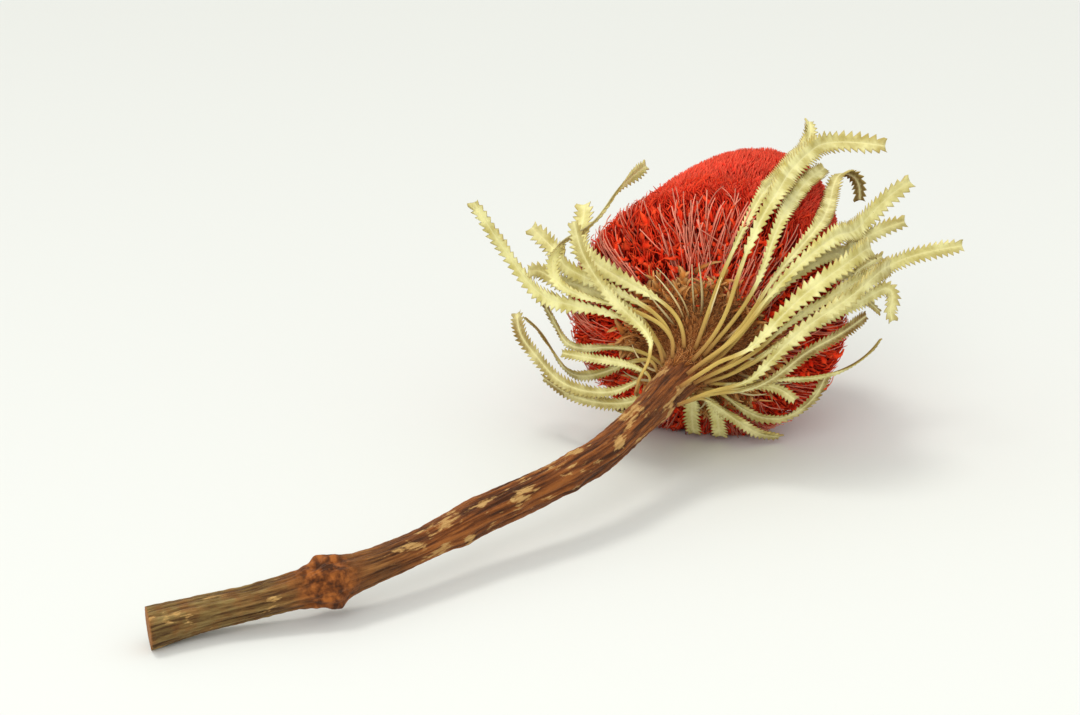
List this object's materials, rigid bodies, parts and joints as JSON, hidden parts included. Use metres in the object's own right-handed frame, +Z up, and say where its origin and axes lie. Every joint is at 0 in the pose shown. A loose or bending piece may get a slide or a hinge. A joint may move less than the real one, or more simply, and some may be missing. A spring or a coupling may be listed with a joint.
{
  "type": "dried banksia flower head",
  "caption": "Dried red banksia flower head lying on its side, with a cut woody stem, a brown felted base and narrow saw-toothed leaves swept round the head.",
  "frame": {"origin": "on the surface the head lies on, in the middle of the flat spot under the head's rim", "axes": "+Z is up; +X runs from the cut end of the stem towards the head; the head's axis is turned 27 degrees towards +Y and raised 16 degrees"},
  "size_m": [0.2987, 0.1208, 0.0925],
  "materials": {
    "bark": "rough red-brown bark, dry",
    "felt": "brown felted hairs and short bracts",
    "floret": "dyed deep red, woolly and matt",
    "leaf": "dry, leathery, dull yellow-green"
  },
  "bodies": {
    "root": {"stem": "bark", "cone_base": "felt", "flower_head": "floret", "leaf_01": "leaf", "leaf_02": "leaf", "leaf_03": "leaf", "leaf_04": "leaf", "leaf_05": "leaf", "leaf_06": "leaf", "leaf_07": "leaf", "leaf_08": "leaf", "leaf_09": "leaf", "leaf_10": "leaf", "leaf_11": "leaf", "leaf_12": "leaf", "leaf_13": "leaf", "leaf_14": "leaf", "leaf_15": "leaf", "leaf_16": "leaf", "leaf_17": "leaf", "leaf_18": "leaf", "leaf_19": "leaf", "leaf_20": "leaf", "leaf_21": "leaf", "leaf_22": "leaf", "leaf_23": "leaf", "leaf_24": "leaf", "leaf_25": "leaf", "leaf_26": "leaf", "leaf_27": "leaf", "leaf_28": "leaf", "leaf_29": "leaf", "leaf_30": "leaf", "leaf_31": "leaf"}
  },
  "joints": []
}
